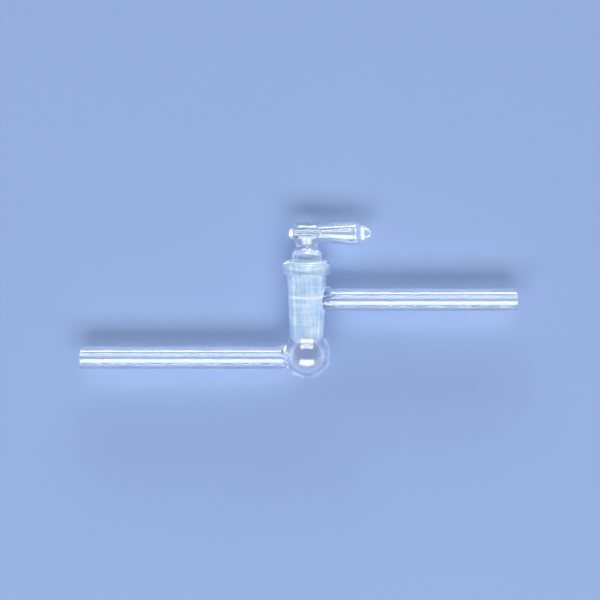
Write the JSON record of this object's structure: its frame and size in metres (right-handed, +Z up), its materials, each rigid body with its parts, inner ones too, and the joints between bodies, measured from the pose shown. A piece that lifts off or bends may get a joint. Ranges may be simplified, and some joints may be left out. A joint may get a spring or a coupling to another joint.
{
  "type": "glass stopcock",
  "caption": "Blown-glass stopcock with a hollow ground key, a bottom bulb and two offset side arms, for opening and closing a gas or vacuum line.",
  "frame": {"origin": "on the bench, under the middle of the stopcock as it lies on its side", "axes": "+X along the side arms towards the right arm's open end, +Y along the plug's axis towards the handle, +Z up"},
  "size_m": [0.1924, 0.0698, 0.0218],
  "materials": {
    "barrel_glass": "clear and fire-polished, with a frosted ground seat inside the taper",
    "plug_glass": "frosted on the ground cone, clear and fire-polished on the neck and handle"
  },
  "bodies": {
    "barrel": {"barrel": "barrel_glass"},
    "plug": {"plug": "plug_glass"}
  },
  "joints": [
    {"name": "plug_turn", "type": "hinge", "parent": "barrel", "child": "plug", "pos_m": [0.0038, 0.00016, 0.0109], "axis": [0, 1, 0], "continuous": true}
  ]
}
